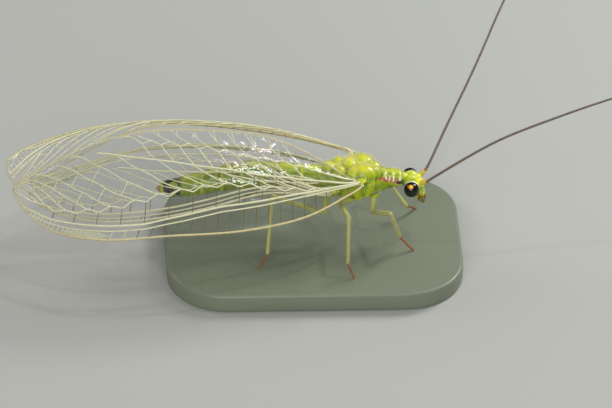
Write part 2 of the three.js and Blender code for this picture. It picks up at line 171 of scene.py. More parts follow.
def alongTrack(track, share):
    place = np.clip(share, 0, 1) * (len(track) - 1)
    low = np.minimum(np.floor(place).astype(int), len(track) - 2)
    part = (place - low)[..., None]
    return track[low] * (1 - part) + track[low + 1] * part


def tubes(routes, materials, roundness=1):
    # Closed round tubes, each a list of places with its radii and the number of its material
    curve = bpy.data.curves.new("tubes", "CURVE")
    curve.dimensions = "3D"
    curve.bevel_depth = 1
    curve.bevel_resolution = roundness
    curve.use_fill_caps = True
    for material in materials:
        curve.materials.append(material)
    for places, radii, number in routes:
        spline = curve.splines.new("POLY")
        spline.points.add(len(places) - 1)
        spline.points.foreach_set("co", np.c_[np.array(places), np.ones(len(places))].ravel())
        spline.points.foreach_set("radius", np.array(radii, float))
        spline.material_index = number
    return meshOf(addObject("tubes", curve))


# Hairs: how far each bends as a share of its length, how thick it still is halfway, the width of its patch
# of the map, how far out in a tube its root sits, and the turn from one hair on a tube to the next
hair = {"bend": 0.12, "halfway": 0.7, "patch": 0.003, "rootAt": 0.9, "turnStep": 2.4}


def hairMesh(hairs, thickness):
    # Three-sided hairs from their roots to their tips, each a closed mesh with its own patch of the map
    roots, tips, patches = hairs
    length = np.linalg.norm(tips - roots, axis=1, keepdims=True)
    ahead = unit(tips - roots)
    across = unit(np.cross(ahead, (0.31, 0.87, 0.38)))
    third = np.cross(ahead, across)
    corners = np.zeros((len(roots), 7, 3))
    middle = (roots + tips) / 2 + across * length * hair["bend"]
    for k in range(3):
        turn = math.tau * k / 3
        out = (across * math.cos(turn) + third * math.sin(turn)) * thickness / 2
        corners[:, k] = roots + out
        corners[:, 3 + k] = middle + out * hair["halfway"]
    corners[:, 6] = tips
    rows = [(2, 1, 0), (0, 1, 4, 3), (1, 2, 5, 4), (2, 0, 3, 5), (3, 4, 6), (4, 5, 6), (5, 3, 6)]
    faces = [[i * 7 + c for c in row] for i in range(len(roots)) for row in rows]
    mesh = bpy.data.meshes.new("hairs")
    mesh.from_pydata(corners.reshape(-1, 3).tolist(), [], faces)
    nudge = np.array([[0, 0], [1, 0], [0.5, 1], [0, 0], [1, 0], [0.5, 1], [0.5, 0.5]]) * hair["patch"]
    corner = np.zeros(len(mesh.loops), int)
    mesh.loops.foreach_get("vertex_index", corner)
    layer = mesh.uv_layers.new(name="OFBake")
    layer.data.foreach_set("uv", (patches[corner // 7] + nudge[corner % 7]).ravel())
    return mesh


def tubeHairs(routes, look, seed):
    # Hairs on round tubes: the roots go round each tube in turns, and the map is the tubes laid side by side
    dice = np.random.default_rng(seed)
    pitch = look["pitch"]
    hairs = []
    for row, route in enumerate(routes):
        places, radii = np.array(route[0]), route[1]
        travelled = travelTo(places)
        at = np.arange(pitch * (0.3 + 0.4 * dice.random()), travelled[-1], pitch)
        if len(at) == 0:
            continue
        at = np.clip(at + dice.uniform(-0.3, 0.3, len(at)) * pitch, 0, travelled[-1])
        before, centre, after = (placesAt(at + step, travelled, places) for step in (-0.01, 0, 0.01))
        ahead = unit(after - before)
        side = unit(np.cross(ahead, (0.12, 0.21, 0.97)))
        over = np.cross(side, ahead)
        turn = np.arange(len(at)) * hair["turnStep"] + dice.uniform(-0.5, 0.5, len(at))
        out = side * np.cos(turn)[:, None] + over * np.sin(turn)[:, None]
        root = centre + out * np.interp(at, travelled, radii)[:, None] * hair["rootAt"]
        reach = look["length"] * dice.uniform(0.75, 1.2, len(at))
        tip = root + unit(out + ahead * look["lean"]) * reach[:, None]
        patch = np.c_[at / travelled[-1] * 0.99, (row + turn / math.tau % 1 * 0.9) / len(routes)]
        hairs.append((root, tip, patch))
    return [np.concatenate(part) for part in zip(*hairs)]


# Finishes. A colour mix has its factor at socket 0, its two colours at 6 and 7, and the result at output 2

def startMaterial(name):
    # A bare material, its node tree, and the places on the piece that its patterns follow
    material = bpy.data.materials.new(name)
    material.use_nodes = True
    tree = material.node_tree
    tree.nodes.clear()
    return material, tree, addNode(tree, "ShaderNodeTexCoord").outputs["Object"]


def endMaterial(material, inputs):
    tree = material.node_tree
    shader = addNode(tree, "ShaderNodeBsdfPrincipled", inputs)
    addNode(tree, "ShaderNodeOutputMaterial", {"Surface": shader.outputs[0]})
    return material


def layMarks(tree, colour, marks):
    # Each mark lies over those before it, as strong as the piece's attribute of its name says
    for mark, tone in marks.items():
        amount = addNode(tree, "ShaderNodeAttribute", attribute_name=mark).outputs["Fac"]
        mix = addNode(tree, "ShaderNodeMix", {0: amount, 6: colour, 7: hexColour(tone)}, data_type="RGBA")
        colour = mix.outputs[2]
    return colour


def mottleColour(tree, place, millimetres, detail, first, second, spread=(0, 1)):
    # Two tones in soft clouds of a given size
    size = {"Vector": place, "Scale": 1000 / millimetres, "Detail": detail}
    cloud = addNode(tree, "ShaderNodeTexNoise", size).outputs["Fac"]
    if spread != (0, 1):
        limits = {"Value": cloud, "From Min": spread[0], "From Max": spread[1]}
        cloud = addNode(tree, "ShaderNodeMapRange", limits).outputs[0]
    tones = {0: cloud, 6: hexColour(first), 7: hexColour(second)}
    return addNode(tree, "ShaderNodeMix", tones, data_type="RGBA").outputs[2]


def cuticleMaterial():
    # Waxy chitin cuticle, as grown: soft gloss over green tissue that light enters a little
    look = {
        "greens": ("#A8BE02", "#748F00"), "mottleMillimetres": 0.3, "grainMillimetres": 0.05,
        "grainDepth": 0.000012, "creaseMillimetres": 0.2, "creaseDepth": 0.00004,
        # Marks include painted shade in folds, painted highlights on ridges and painted light on the thorax's
        # top
        "marks": {
            "shieldGreenAndHollowShadeMark": "#4F6800", "goldAndPaintedLightMark": "#DCD800", "ridgeHighlightMark": "#E8E628", "paleMark": "#E2E64E",
            "strawMark": "#B99A4A", "rustMark": "#B8601A", "redMark": "#98090C", "creamMark": "#F6F2DC",
            "darkMark": "#11141C",
        },
    }
    material, tree, place = startMaterial("waxyCuticle")
    green = mottleColour(tree, place, look["mottleMillimetres"], 3.0, *look["greens"], spread=(0.35, 0.7))
    grain = addNode(tree, "ShaderNodeTexNoise", {
        "Vector": place, "Scale": 1000 / look["grainMillimetres"], "Detail": 2.0,
    })
    fine = addNode(tree, "ShaderNodeBump", {
        "Height": grain.outputs["Fac"], "Strength": 0.5, "Distance": look["grainDepth"],
    })
    crease = addNode(tree, "ShaderNodeTexVoronoi", {
        "Vector": place, "Scale": 1000 / look["creaseMillimetres"],
    }, feature="SMOOTH_F1")
    coarse = addNode(tree, "ShaderNodeBump", {
        "Height": crease.outputs["Distance"], "Normal": fine.outputs[0], "Strength": 0.55,
        "Distance": look["creaseDepth"],
    }, invert=True)
    return endMaterial(material, {
        "Base Color": layMarks(tree, green, look["marks"]), "Normal": coarse.outputs[0],
        "Roughness": 0.36, "IOR": 1.42, "Subsurface Weight": 0.12, "Subsurface Scale": 0.00015,
        "Coat Weight": 0.35, "Coat Roughness": 0.13,
    })


def thinCuticleMaterial(name, light, dark, roughness=0.4, alpha=1.0):
    # Thin chitin of limbs, veins and hairs, as grown: faint mottling and a silky gloss
    mottleMillimetres = 0.25
    material, tree, place = startMaterial(name)
    return endMaterial(material, {
        "Base Color": mottleColour(tree, place, mottleMillimetres, 3.0, light, dark),
        "Roughness": roughness, "IOR": 1.5, "Alpha": alpha, "Subsurface Weight": 0.2,
        "Subsurface Scale": 0.00015, "Subsurface Radius": (1.0, 0.75, 0.45),
    })


def membraneMaterial():
    # Clear wing membrane, a chitin film: its faint mirror is tinted by interference, so it is set as
    # a thin metal. It is drawn tighter toward its low front margin, so it sparkles only higher up
    look = {
        "tintMillimetres": 1.6, "tints": ((0.3, "#9DBBAC"), (0.7, "#BCA8B8")), "rippleMillimetres": 0.45,
        "rippleDepth": 0.00006, "tightBelow": 3.3, "slackAbove": 4.0, "tightRipple": 0.12,
    }
    material, tree, place = startMaterial("clearMembrane")
    drift = addNode(tree, "ShaderNodeTexNoise", {
        "Vector": place, "Scale": 1000 / look["tintMillimetres"], "Detail": 2.0,
    })
    tint = addNode(tree, "ShaderNodeValToRGB", {"Fac": drift.outputs["Fac"]})
    for element, (position, tone) in zip(tint.color_ramp.elements, look["tints"]):
        element.position = position
        element.color = hexColour(tone)
    ripple = addNode(tree, "ShaderNodeTexNoise", {
        "Vector": place, "Scale": 1000 / look["rippleMillimetres"], "Detail": 3.0,
    })
    height = addNode(tree, "ShaderNodeSeparateXYZ", {"Vector": place}).outputs["Z"]
    low, high = ((toRow @ Vector((0, 0, look[bound]))).z for bound in ("tightBelow", "slackAbove"))
    slack = addNode(tree, "ShaderNodeMapRange", {
        "Value": height, "From Min": low, "From Max": high, "To Min": look["tightRipple"],
    })
    bump = addNode(tree, "ShaderNodeBump", {
        "Height": ripple.outputs["Fac"], "Strength": slack.outputs[0], "Distance": look["rippleDepth"],
    })
    return endMaterial(material, {
        "Base Color": tint.outputs[0], "Normal": bump.outputs[0], "Metallic": 1.0, "Roughness": 0.16,
        "Alpha": 0.06,
    })


def corneaMaterial():
    # Faceted cornea over dark pigment, as grown: hard gloss, with a golden reflection and its bright core
    # painted into its colour above and a dim green reflection painted in a band below
    look = {
        "pigment": "#060605", "marks": {"greenReflectionMark": "#1C2610", "goldAndPaintedLightMark": "#E2780A", "highlightCoreMark": "#FBDF3C"},
        "facetMillimetres": 0.026, "facetDepth": 0.000004,
    }
    material, tree, place = startMaterial("facetedCornea")
    facets = addNode(tree, "ShaderNodeTexVoronoi", {
        "Vector": place, "Scale": 1000 / look["facetMillimetres"],
    })
    bump = addNode(tree, "ShaderNodeBump", {
        "Height": facets.outputs["Distance"], "Strength": 0.2, "Distance": look["facetDepth"],
    })
    return endMaterial(material, {
        "Base Color": layMarks(tree, hexColour(look["pigment"]), look["marks"]), "Normal": bump.outputs[0],
        "Roughness": 0.2, "IOR": 1.38, "Coat Weight": 0.2, "Coat Roughness": 0.05,
    })


def plateMaterial():
    # Cast acrylic with a satin face: even, with a soft sheen
    cloudMillimetres = 3.0
    material, tree, place = startMaterial("satinAcrylic")
    colour = mottleColour(tree, place, cloudMillimetres, 4.0, "#7A816E", "#737A67")
    return endMaterial(material, {"Base Color": colour, "Roughness": 0.38, "IOR": 1.49})


skinFinish = cuticleMaterial()
limbFinish = thinCuticleMaterial("paleLimbCuticle", "#C0C178", "#9A9C50")
footFinish = thinCuticleMaterial("brownFootCuticle", "#AC6E44", "#784426", 0.45)
whipFinish = thinCuticleMaterial("mauveWhipCuticle", "#776B58", "#564A3A", 0.5)
scapeFinish = thinCuticleMaterial("yellowScapeCuticle", "#D8CC48", "#BCA22A")
pedicelFinish = thinCuticleMaterial("rustyPedicelCuticle", "#A8763E", "#80502C", 0.45)
mouthFinish = thinCuticleMaterial("brownMouthCuticle", "#A08A44", "#4E3018")
veinFinish = thinCuticleMaterial("creamVein", "#EAE6C6", "#D0CC9E", 0.35)
marginFinish = thinCuticleMaterial("goldenMargin", "#DCD0A0", "#BEAD76", 0.35)
crossFinish = thinCuticleMaterial("oliveCrossVein", "#6E6A38", "#4E4A26")
hairFinish = thinCuticleMaterial("paleHair", "#F0EBC8", "#DCD6A0", 0.35)
darkHairFinish = thinCuticleMaterial("brownHair", "#6B4B3A", "#4A3024")
bristleFinish = thinCuticleMaterial("wingBristle", "#BDB98A", "#8F8B5C")
stigmaFinish = thinCuticleMaterial("thickWingPatch", "#E0E0BE", "#CDD0A2", alpha=0.36)
membraneFinish = membraneMaterial()
corneaFinish = corneaMaterial()
plateFinish = plateMaterial()
print("finishes made")


# Camera and light, at the photo's angle. The big lamps stay out of the cone that the near wings mirror,
# and a small one inside it makes the film sparkle

view = {
    "across": (0.99826957, -0.05475466, 0.0214429), "up": (0.01388378, 0.57380917, 0.81887134),
    "aimAcross": -1.785, "aimUp": 1.0, "distance": 300, "width": 24.88,
}
studio = {
    "lamps": {
        "key": {"place": (76, 52, 80), "size": 50, "watts": 0.11},
        "front": {"place": (-20, -115, 68), "size": 110, "watts": 0.11},
        "back": {"place": (-98, 46, 62), "size": 60, "watts": 0.03},
        "spark": {"place": (44, 2, 134), "size": 8, "watts": 0.028},
    },
    "aim": (-3, 0, 2), "surround": "#DADDE0", "surroundStrength": 0.28, "floor": "#ABACA6", "floorSize": 0.6,
}


def makeCamera():
    across = Vector(view["across"])
    up = Vector(view["up"])
    back = across.cross(up)
    aim = across * view["aimAcross"] + up * view["aimUp"]
    data = bpy.data.cameras.new("camera")
    data.lens = data.sensor_width * view["distance"] / view["width"]
    data.clip_start = 0.001
    data.clip_end = 10
    camera = addObject("camera", data)
    turn = Matrix((across, up, back)).transposed().to_4x4()
    camera.matrix_world = Matrix.Translation(toRow @ (aim + back * view["distance"])) @ turn
    scene.camera = camera


def makeLights():
    for name, lamp in studio["lamps"].items():
        data = bpy.data.lights.new(name, "AREA")
        data.shape = "DISK"
        data.size = lamp["size"] / 1000
        data.energy = lamp["watts"]
        light = addObject(name, data)
        place = toRow @ Vector(lamp["place"])
        light.location = place
        light.rotation_euler = (toRow @ Vector(studio["aim"]) - place).to_track_quat("-Z", "Y").to_euler()
    world = bpy.data.worlds.new("studio")
    world.use_nodes = True
    surround = world.node_tree.nodes["Background"].inputs
    surround["Color"].default_value = hexColour(studio["surround"])
    surround["Strength"].default_value = studio["surroundStrength"]
    scene.world = world
    scene.view_settings.view_transform = "Standard"


def makeFloor():
    bm = bmesh.new()
    bmesh.ops.create_grid(bm, x_segments=1, y_segments=1, size=studio["floorSize"])
    floor = addObject("floor", toMesh(bm, "floor"))
    # Matt floor paint, rolled on: plain, with no gloss
    paint = endMaterial(startMaterial("paleFloorPaint")[0], {
        "Base Color": hexColour(studio["floor"]), "Roughness": 0.8,
    })
    floor.data.materials.append(paint)


makeCamera()
makeLights()
makeFloor()
print("camera, light and floor made")


# Body: one skin from the head to the end of the abdomen

body = {
    "voxel": 0.026, "smoothing": 8, "hollowSmoothing": 30,
    # place along X, half width, top and underside
    "trunk": [
        (2.3, 0.27, 2.7, 2.14), (2.12, 0.33, 2.75, 2.2), (1.95, 0.36, 2.8, 2.22), (1.7, 0.42, 2.85, 2.16),
        (1.4, 0.47, 2.85, 2.05), (1.1, 0.57, 2.9, 1.96), (0.75, 0.76, 3.14, 1.8), (0.3, 0.84, 3.26, 1.72),
        (-0.2, 0.82, 3.28, 1.75), (-0.7, 0.73, 3.2, 1.82), (-1.1, 0.6, 3.1, 1.96), (-1.75, 0.48, 3.1, 2.16),
        (-2.8, 0.52, 3.22, 2.18), (-4.1, 0.56, 3.33, 2.22), (-5.2, 0.52, 3.1, 2.06), (-6.2, 0.47, 2.8, 1.86),
        (-7.1, 0.38, 2.56, 1.76), (-7.7, 0.27, 2.4, 1.84), (-7.97, 0.1, 2.26, 2.02),
    ],
    # the abdomen's rings: where they run and how many, how deep and wide their joints are, and how much
    # each widens toward its rear
    "rings": {"from": -1.35, "to": -7.8, "count": 8, "depth": 0.085, "jointWidth": 0.1, "flare": 0.03},
    # lobes: middle, half sizes, and lean about Y in degrees. Those away from the middle come in pairs
    "lobes": {
        "shieldFront": ((1.9, 0, 2.62), (0.19, 0.37, 0.21), 4),
        "shieldMiddle": ((1.62, 0, 2.62), (0.2, 0.43, 0.25), 0),
        "shieldRear": ((1.3, 0, 2.6), (0.22, 0.5, 0.31), -4),
        "shieldEdge": ((1.6, 0.4, 2.54), (0.46, 0.1, 0.13), 7),
        "prescutum": ((0.88, 0.16, 2.87), (0.34, 0.33, 0.3), 0),
        "scutum": ((0.46, 0.36, 2.92), (0.54, 0.45, 0.42), 0),
        "scutumRear": ((0.06, 0.42, 2.92), (0.36, 0.37, 0.38), 0),
        "scutellum": ((-0.08, 0, 3.14), (0.34, 0.42, 0.3), 0),
        "hindScutum": ((-0.5, 0.3, 2.98), (0.32, 0.36, 0.31), 0),
        "hindScutellum": ((-0.92, 0, 3.03), (0.28, 0.34, 0.25), 0),
        "sideFront": ((0.66, 0.62, 2.46), (0.24, 0.2, 0.48), 16),
        "sideMiddle": ((0.2, 0.68, 2.4), (0.24, 0.19, 0.52), -8),
        "sideRear": ((-0.24, 0.66, 2.42), (0.22, 0.17, 0.46), 10),
        "hindSideFront": ((-0.62, 0.58, 2.42), (0.22, 0.17, 0.44), 6),
        "hindSideRear": ((-0.98, 0.47, 2.5), (0.2, 0.14, 0.36), 12),
        "frontSocket": ((0.9, 0.36, 1.94), (0.2, 0.19, 0.22), 0),
        "middleSocket": ((-0.1, 0.42, 1.84), (0.24, 0.22, 0.2), 0),
        "hindSocket": ((-0.98, 0.38, 2.02), (0.22, 0.2, 0.2), 0),
        "foreHinge": ((0.2, 0.88, 2.95), (0.36, 0.28, 0.09), -14),
        "hindHinge": ((-0.76, 0.8, 2.58), (0.26, 0.36, 0.1), 0),
        "neck": ((2.14, 0, 2.44), (0.26, 0.27, 0.26), 0),
        "occiput": ((2.32, 0.14, 2.34), (0.22, 0.32, 0.32), 0),
        "cranium": ((2.5, 0, 2.12), (0.36, 0.47, 0.46), 12),
        "vertex": ((2.43, 0.13, 2.44), (0.28, 0.25, 0.26), 8),
        "frons": ((2.72, 0, 2.08), (0.25, 0.3, 0.38), 14),
        "torulus": ((2.74, 0.23, 2.38), (0.13, 0.13, 0.13), 0),
        "gena": ((2.66, 0.24, 1.92), (0.2, 0.16, 0.26), 16),
        "clypeus": ((2.84, 0, 1.76), (0.16, 0.24, 0.2), 14),
        "eyeRim": ((2.44, 0.4, 2.24), (0.3, 0.14, 0.33), 0),
    },
    # marks: lines drawn on both sides as seen from the side, by X and height, with their half width
    "marks": {
        "rustMark": [((1.1, 2.73), (1.34, 2.72), 0.06)],
        "redMark": [((1.32, 2.71), (1.62, 2.66), 0.1), ((1.62, 2.66), (1.9, 2.57), 0.09),
                    ((2.66, 2.0), (2.86, 1.66), 0.07), ((2.88, 1.96), (2.93, 1.66), 0.04)],
        "darkMark": [((1.84, 2.57), (2.06, 2.52), 0.055)],
        "creamMark": [((1.37, 2.78), (1.39, 2.72), 0.034), ((1.53, 2.77), (1.51, 2.68), 0.034),
                      ((1.69, 2.75), (1.67, 2.65), 0.036), ((1.95, 2.7), (1.94, 2.62), 0.045)],
    },
    # tones: how strong each is, and the two values between which it comes in. The hollow tone is painted
    # shade in folds, the ridge tone a painted highlight, and the gold tone painted light on the thorax's top
    "tones": {
        "hollow": (0.9, 0.0008, 0.0088), "ridge": (0.8, -0.0018, -0.0138), "shieldRear": (0.34, 1.12, 1.22),
        "shieldFront": (1, 2.1, 2.0), "side": (1, 0.2, 0.24), "stripe": (0.6, 0.195, 0.065),
        "headStripe": (0.45, 0.52, 0.12), "band": (0.6, 0.096, 0.036), "gold": (0.8, 3.0, 3.3),
        "goldFace": (1, 2.5, 2.65), "orbit": (1, 0.0312, 0.0072), "orbitTop": (1, 2.05, 2.35),
        "blotRear": (1, -7.72, -7.6), "blotFront": (1, -6.75, -7.05), "straw": (1, -7.68, -7.8),
    },
    "thorax": (-1.4, 1.15), "headFrom": 2.3, "bandAt": 0.86, "orbitRadius": 0.326,
}
# The golden reflection painted on the eye and its bright core lie where they would on a ball of radius one,
# and the band tone paints a dim green reflection below the middle
eye = {
    "middle": (2.41, 0.5, 2.25), "radius": 0.31, "stretch": (1, 0.98, 1.04),
    "sheen": (-0.18, 0.59, 0.8), "sheenStretch": (1.2, 1, 0.9), "core": (-0.1, 0.57, 0.82),
    "tones": {"band": (1, 0.3, 0), "gold": (1, 0.377, 0.232), "core": (1, 0.266, 0.126)},
}


def ringPhase(x):
    # How far along its own ring of the abdomen a place lies, from 0 to 1
    ring = body["rings"]
    return (ring["from"] - x) / (ring["from"] - ring["to"]) * ring["count"] % 1


def spindle(bm, stations):
    # A ball drawn out along X so that it passes through the stations
    ring = body["rings"]
    table = np.array(stations)[::-1]
    for vertex in bmesh.ops.create_uvsphere(bm, u_segments=40, v_segments=220, radius=1)["verts"]:
        share = math.acos(max(-1, min(1, vertex.co.z))) / math.pi
        x = table[-1, 0] + (table[0, 0] - table[-1, 0]) * share
        half, top, bottom = (np.interp(x, table[:, 0], table[:, k]) for k in (1, 2, 3))
        swell = 1.0
        if ring["to"] < x < ring["from"]:
            phase = ringPhase(x)
            toJoint = min(phase, 1 - phase) / ring["jointWidth"]
            swell = 1 - ring["depth"] * math.exp(-toJoint ** 2) + ring["flare"] * phase
        flat = math.hypot(vertex.co.x, vertex.co.y) or 1
        atEnd = min(1, math.sin(math.pi * share) * 12)
        out = Vector((vertex.co.x, vertex.co.y)) / flat * swell * atEnd
        vertex.co = (x, out.x * half, (top + bottom) / 2 + out.y * (top - bottom) / 2)


def addLobe(bm, middle, size, lean):
    # Made by itself first, because a ball is slow to add to a large mesh
    for side in ((-1, 1) if middle[1] else (1,)):
        matrix = Matrix.Translation(toSide(middle, side))
        matrix @= Matrix.Rotation(math.radians(lean), 4, "Y") @ Matrix.Diagonal((*size, 1))
        lobe = bmesh.new()
        bmesh.ops.create_uvsphere(lobe, u_segments=32, v_segments=24, radius=1, matrix=matrix)
        mesh = toMesh(lobe, "lobe")
        bm.from_mesh(mesh)
        bpy.data.meshes.remove(mesh)


def nearLine(places, start, end, width):
    # How close places lie to a line between two ends, as 1 on it and 0 past its width
    start, end = np.array(start), np.array(end)
    along = end - start
    reach = np.clip((places - start) @ along / (along @ along), 0, 1)
    far = np.linalg.norm(places - start - reach[:, None] * along, axis=1)
    return np.clip(2.2 * (1 - far / width), 0, 1)


def tone(look, name, values):
    strength, zero, full = look["tones"][name]
    return strength * ramp(values, zero, full)


def markBody(mesh, places, normals, hollows):
    x, away, z = places[:, 0], np.abs(places[:, 1]), places[:, 2]
    lit = np.clip(normals[:, 2], 0, 1)
    thoraxRear, thoraxFront = body["thorax"]
    onAbdomen = x < body["rings"]["from"]
    marks = {
        name: tone(body, "side", away) * np.max([nearLine(places[:, ::2], *line) for line in lines], axis=0)
        for name, lines in body["marks"].items()
    }
    marks["redMark"] *= 0.75 + 0.25 * np.sin(x * 60 + z * 25)

    # Painted shade makes the folds deep green and painted highlights make the ridges light; the shield behind
    # the head is a deeper green of its own
    shield = tone(body, "shieldRear", x) * tone(body, "shieldFront", x)
    marks["shieldGreenAndHollowShadeMark"] = np.where(onAbdomen, 0.5, 1) * np.maximum(tone(body, "hollow", hollows), shield)
    marks["ridgeHighlightMark"] = tone(body, "ridge", hollows) * (x > thoraxRear)

    # A pale stripe runs down the back, and a pale band across the rear of each ring
    stripe = np.where(x < body["headFrom"], tone(body, "stripe", away), tone(body, "headStripe", away))
    band = tone(body, "band", np.abs(ringPhase(x) - body["bandAt"])) * onAbdomen
    marks["paleMark"] = np.maximum(stripe * lit, band)

    # Painted top light turns the upward-facing top of the thorax golden, and the face is golden
    onThorax = (x > thoraxRear) & (x < thoraxFront)
    marks["goldAndPaintedLightMark"] = onThorax * tone(body, "gold", z) * lit ** 2 + (z > 2.2) * tone(body, "goldFace", x)

    # A cream ring round each eye, stronger above
    fromEye = np.linalg.norm(np.stack([x, away, z], -1) - eye["middle"], axis=1)
    orbit = tone(body, "orbit", np.abs(fromEye - body["orbitRadius"])) * (x > 2.1)
    orbit *= np.clip(tone(body, "orbitTop", z), 0.2, 0.9)
    marks["creamMark"] = np.maximum(marks["creamMark"], orbit)

    # Dark blotches before the end of the abdomen, and a straw tip
    blot = np.sin(x * 11 + 2) + np.sin(z * 17 + x * 5) + 0.8 * np.sin(away * 23)
    inside = np.minimum(tone(body, "blotRear", x), tone(body, "blotFront", x))
    marks["darkMark"] = np.maximum(marks["darkMark"], np.clip((blot + 0.55) * 2.2, 0, 1) * inside)
    marks["strawMark"] = tone(body, "straw", x)
    paintMarks(mesh, marks)


def readRows(items, field):
    flat = np.zeros(len(items) * 3)
    items.foreach_get(field, flat)
    return flat.reshape(-1, 3)


def makeBody():
    bm = bmesh.new()
    spindle(bm, body["trunk"])
    for middle, size, lean in body["lobes"].values():
        addLobe(bm, middle, size, lean)
    mesh = settle(toMesh(bm, "body"), [
        ("REMESH", {"mode": "VOXEL", "voxel_size": body["voxel"]}),
        ("SMOOTH", {"factor": 0.5, "iterations": body["smoothing"]}),
    ])
    smoother = settle(mesh.copy(), [("SMOOTH", {"factor": 0.5, "iterations": body["hollowSmoothing"]})])
    places, normals = readRows(mesh.vertices, "co"), readRows(mesh.vertex_normals, "vector")
    hollows = np.sum((readRows(smoother.vertices, "co") - places) * normals, axis=1)
    markBody(mesh, places, normals, hollows)
    nodes = ("head", "prothorax", "mesothorax", "metathorax", "abdomen")
    finishPiece("body_skin", mesh, nodes, [skinFinish])
    return places, normals


skinPlaces, skinNormals = makeBody()
print("body skin made:", len(skinPlaces), "corners")


# Eyes

def makeEyes():
    for name, side in sides.items():
        bm = bmesh.new()
        bmesh.ops.create_icosphere(bm, subdivisions=5, radius=eye["radius"])
        bmesh.ops.scale(bm, vec=eye["stretch"], verts=bm.verts)
        places = np.array([v.co for v in bm.verts]) / eye["radius"]
        bmesh.ops.translate(bm, vec=Vector(toSide(eye["middle"], side)), verts=bm.verts)
        mesh = toMesh(bm, "eye")
        sheen = np.linalg.norm((places - toSide(eye["sheen"], side)) / eye["sheenStretch"], axis=1)
        core = np.linalg.norm(places - toSide(eye["core"], side), axis=1)
        # Painted reflections: a dim green band, a golden patch above and its bright core
        paintMarks(mesh, {
            "greenReflectionMark": tone(eye, "band", abs(places[:, 2] + 0.1)),
            "goldAndPaintedLightMark": tone(eye, "gold", sheen),
            "highlightCoreMark": tone(eye, "core", core),
        })
        finishPiece(f"eye_{name}_cornea", mesh, [f"eye_{name}"], [corneaFinish])


makeEyes()


# Mouthparts: upper lip, jaws and two pairs of feelers, by places and their radii

mouth = {
    "lip": [((2.9, 0, 1.66), 0.12), ((2.95, 0, 1.55), 0.14), ((2.96, 0, 1.44), 0.1), ((2.95, 0, 1.39), 0.03)],
    "jaw": [((2.78, 0.2, 1.66), 0.09), ((2.88, 0.18, 1.52), 0.09), ((2.93, 0.08, 1.4), 0.035)],
    "upperFeeler": [
        ((2.82, 0.2, 1.66), 0.04), ((2.91, 0.29, 1.66), 0.04), ((2.96, 0.31, 1.6), 0.038),
        ((2.94, 0.31, 1.51), 0.038), ((2.88, 0.3, 1.46), 0.034), ((2.83, 0.29, 1.44), 0.012),
    ],
    "lowerFeeler": [
        ((2.74, 0.1, 1.6), 0.04), ((2.74, 0.15, 1.53), 0.036), ((2.77, 0.17, 1.46), 0.032),
        ((2.79, 0.16, 1.41), 0.012),
    ],
}


def makeMouth():
    routes = []
    for part, stations in mouth.items():
        line, thickness = zip(*stations)
        at = np.linspace(0, len(line) - 1, 31)
        radii = np.interp(at, np.arange(len(line)), thickness)
        if "Feeler" in part:
            # A feeler is narrow at its joints
            radii *= 1 - 0.3 * np.exp(-(((at + 0.5) % 1 - 0.5) / 0.16) ** 2)
        for side in ((1,) if part == "lip" else (-1, 1)):
            routes.append((smoothTrack(toSide(line, side), 31), radii, 0))
    finishPiece("mouth_and_feelers", tubes(routes, [mouthFinish], 3), ["mouthparts"])


makeMouth()
print("eyes and mouth made")


# Antennae. A joint's stations are shares of its length with the radius there as a share of its own

limbRoutes = {}
antenna = {
    "base": (2.74, 0.24, 2.38), "scapeEnd": (3.0, 0.39, 2.53), "scapeRadius": 0.1,
    "scape": [(0, 0.5), (0.1, 0.72), (0.3, 0.95), (0.55, 1.02), (0.8, 0.98), (0.94, 0.8), (1, 0.45)],
    "pedicelLength": 0.14, "pedicelRadius": 0.068,
    "pedicel": [(-0.25, 0.5), (0, 0.85), (0.3, 1), (0.7, 1), (1, 0.85), (1.15, 0.5)],
    "joints": 96, "rootRadius": 0.055, "tipRadius": 0.034,
    "joint": [(0.04, 0.86), (0.25, 1.0), (0.7, 1.04), (0.94, 0.98)],
    "right": [(3.3, -0.42, 2.78), (5.79, -0.4, 4.48), (8.25, -0.1, 5.42), (10.56, 0.3, 6.06),
              (15.9, 0.9, 7.5)],
    "left": [(3.14, 0.56, 2.68), (3.98, 2.2, 3.48), (5.3, 4.75, 4.7), (6.6, 7.4, 6.05), (8.9, 11.8, 7.9)],
}


def makeAntennae():
    for name, side in sides.items():
        base, scapeEnd = (Vector(toSide(antenna[end], side)) for end in ("base", "scapeEnd"))
        pedicelEnd = scapeEnd + (Vector(antenna[name][0]) - scapeEnd).normalized() * antenna["pedicelLength"]
        routes = []
        for part, start, end in (("scape", base, scapeEnd), ("pedicel", scapeEnd, pedicelEnd)):
            places = [start.lerp(end, share) for share, swell in antenna[part]]
            radii = [antenna[f"{part}Radius"] * swell for share, swell in antenna[part]]
            routes.append((places, radii, len(routes)))
        mesh = tubes(routes, [scapeFinish, pedicelFinish], 6)
        finishPiece(f"antenna_{name}_base", mesh, [f"antenna_{name}_scape"])

        track = smoothTrack([pedicelEnd, *antenna[name]])
        thin = antenna["tipRadius"] - antenna["rootRadius"]
        places, radii = [], []
        for joint in range(antenna["joints"]):
            for part, swell in antenna["joint"]:
                places.append(alongTrack(track, np.array((joint + part) / antenna["joints"])))
                radii.append((antenna["rootRadius"] + thin * joint / antenna["joints"]) * swell)
        limbRoutes[f"antenna_{name}_whip"] = [(places, radii, 0)]
        mesh = tubes(limbRoutes[f"antenna_{name}_whip"], [whipFinish], 2)
        nodes = [f"antenna_{name}_inner", f"antenna_{name}_outer"]
        finishPiece(f"antenna_{name}_whip", mesh, nodes)


makeAntennae()
print("antennae made")


# Legs

